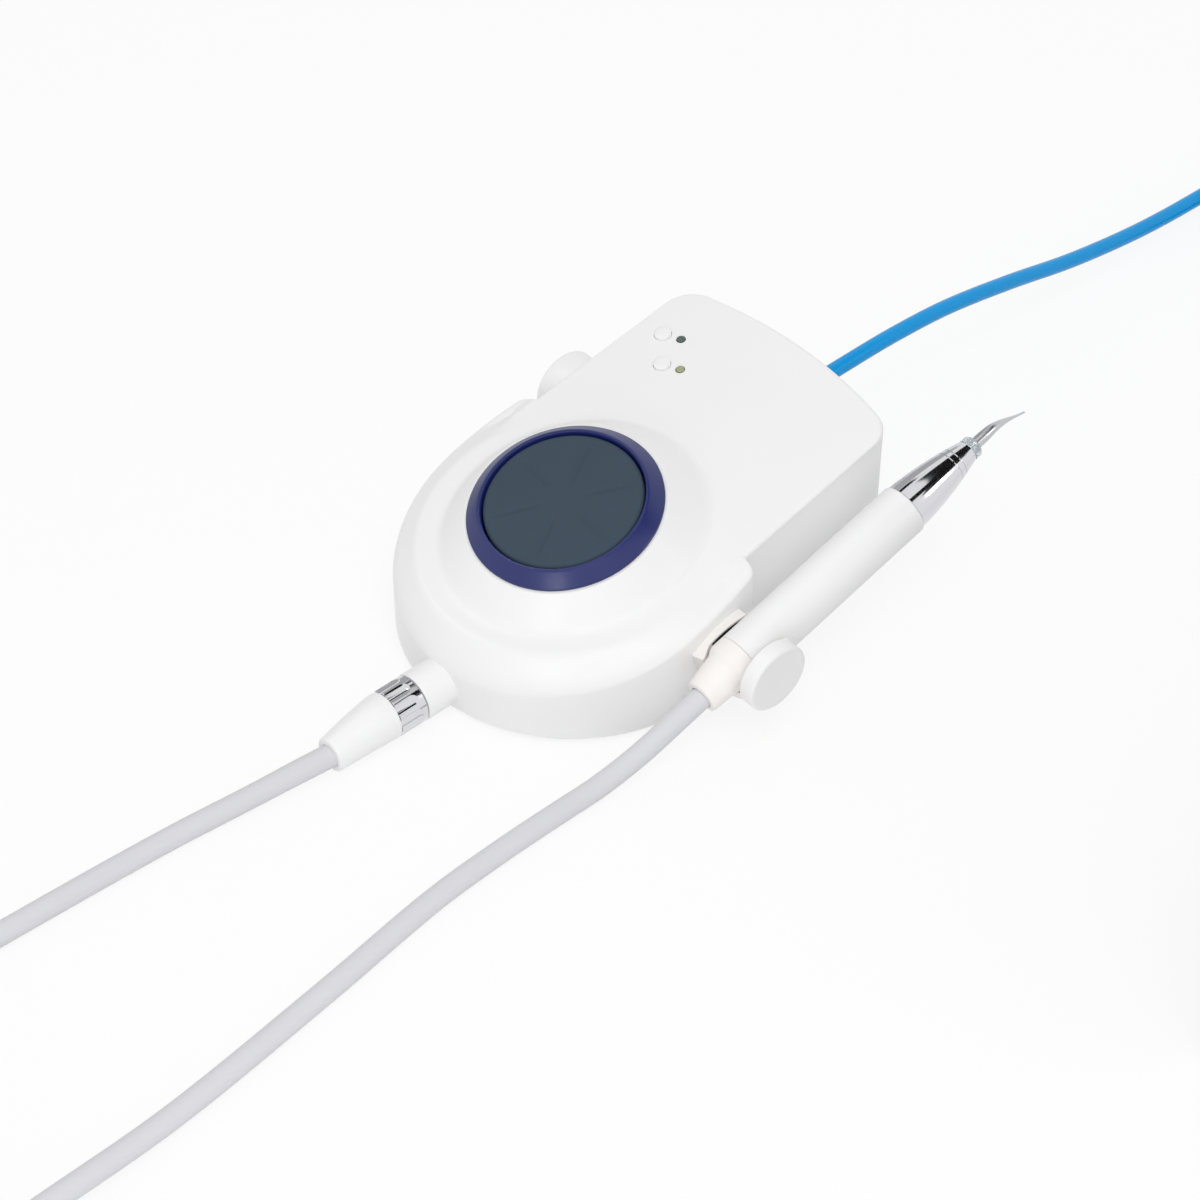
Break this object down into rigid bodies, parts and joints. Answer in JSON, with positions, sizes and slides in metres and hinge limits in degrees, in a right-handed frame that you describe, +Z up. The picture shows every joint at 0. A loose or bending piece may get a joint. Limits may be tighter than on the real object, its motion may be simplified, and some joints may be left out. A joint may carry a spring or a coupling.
{
  "type": "ultrasonic scaler",
  "caption": "Foot-operated dental scaler base: sloped white housing with a round foot pedal, side knobs, a handpiece in its holder, a grey handpiece cord and a blue water hose.",
  "frame": {"origin": "on the floor under the middle of the foot pedal, on the underside of the base pad", "axes": "+Z up, +Y from the front connector to the rear hose inlet, +X towards the handpiece's side"},
  "size_m": [0.1626, 0.832, 0.0656],
  "materials": {
    "white_plastic": "satin moulded white",
    "cream_plastic": "satin off-white",
    "blue_plastic": "dark blue, satin gloss",
    "grey_rubber": "blue-grey, finely ridged",
    "black_rubber": "matt black",
    "grey_plastic": "matt grey",
    "black_plastic": "matt black",
    "steel": "plain steel",
    "chrome": "bright plated",
    "plated_brass": "nickel plated",
    "aluminium": "plain",
    "tail_plastic": "satin light grey",
    "clear_plastic": "clear to milky",
    "cord_silicone": "smooth light grey",
    "hose_blue": "glossy blue",
    "tie_strap": "matt black",
    "circuit_board": "green solder resist",
    "winding_tape": "yellow tape",
    "green_lamp": "dark green lens",
    "olive_lamp": "olive lens"
  },
  "bodies": {
    "base": {"top_shell": "white_plastic", "socket_collar": "white_plastic", "strain_relief": "white_plastic", "handpiece_holder": "cream_plastic", "pedal_bezel": "blue_plastic", "base_pad": "black_rubber", "base_plate": "grey_plastic", "pedal_tower": "black_plastic", "foot_switch": "black_plastic", "power_key_switch": "black_plastic", "turbo_key_switch": "black_plastic", "front_socket": "black_plastic", "plug_insert": "black_plastic", "power_inlet": "black_plastic", "valve_coil": "black_plastic", "case_screw_1": "steel", "case_screw_2": "steel", "case_screw_3": "steel", "case_screw_4": "steel", "pedal_spring": "steel", "power_dial_pot": "steel", "water_inlet": "plated_brass", "hose_fitting": "plated_brass", "valve_body": "plated_brass", "heat_sink": "aluminium", "inlet_tube": "clear_plastic", "outlet_tube": "clear_plastic", "cord_front": "cord_silicone", "cord_coil": "cord_silicone", "cord_rear": "cord_silicone", "hose_run": "hose_blue", "hose_coil": "hose_blue", "cord_tie": "tie_strap", "hose_tie": "tie_strap", "main_board": "circuit_board", "button_board": "circuit_board", "transformer": "winding_tape", "power_lamp": "green_lamp", "turbo_lamp": "olive_lamp"},
    "pedal": {"pedal_pad": "grey_rubber", "pedal_carrier": "black_plastic"},
    "power_button": {"power_button": "white_plastic"},
    "turbo_button": {"turbo_button": "white_plastic"},
    "power_dial": {"power_knob": "white_plastic", "power_shaft": "steel"},
    "clamp": {"clamp_knob": "white_plastic", "clamp_stud": "steel"},
    "coupling": {"coupling_ring": "chrome"},
    "handpiece": {"handpiece_tail": "tail_plastic", "handpiece_sleeve": "white_plastic", "handpiece_nose": "chrome", "lamp_ring": "clear_plastic", "ultrasonic_converter": "steel", "scaler_tip": "steel"}
  },
  "joints": [
    {"name": "pedal_press", "type": "slide", "parent": "base", "child": "pedal", "axis": [0, 0.2546, -0.967], "range_m": [0, 0.003], "stiffness_N_per_m": 1500, "springref_m": -0.004, "deforming": ["pedal_spring"]},
    {"name": "power_button_press", "type": "slide", "parent": "base", "child": "power_button", "axis": [0, 0.1846, -0.9828], "range_m": [0, 0.001], "stiffness_N_per_m": 300, "springref_m": -0.002},
    {"name": "turbo_button_press", "type": "slide", "parent": "base", "child": "turbo_button", "axis": [0, 0.1846, -0.9828], "range_m": [0, 0.001], "stiffness_N_per_m": 300, "springref_m": -0.002},
    {"name": "power_dial_turn", "type": "hinge", "parent": "base", "child": "power_dial", "pos_m": [-0.05396, 0.0567, 0.0348], "axis": [-1, 0, 0], "range_deg": [0, 270]},
    {"name": "clamp_turn", "type": "hinge", "parent": "base", "child": "clamp", "pos_m": [0.08815, 0.0118, 0.03288], "axis": [1, 0, 0], "range_deg": [0, 360]},
    {"name": "coupling_turn", "type": "hinge", "parent": "base", "child": "coupling", "pos_m": [0.0017, -0.0601, 0.0097], "axis": [0, -1, 0], "range_deg": [0, 90]},
    {"name": "handpiece_lift", "type": "slide", "parent": "base", "child": "handpiece", "axis": [0, -0.2651, 0.9642], "range_m": [0, 0.03]}
  ]
}
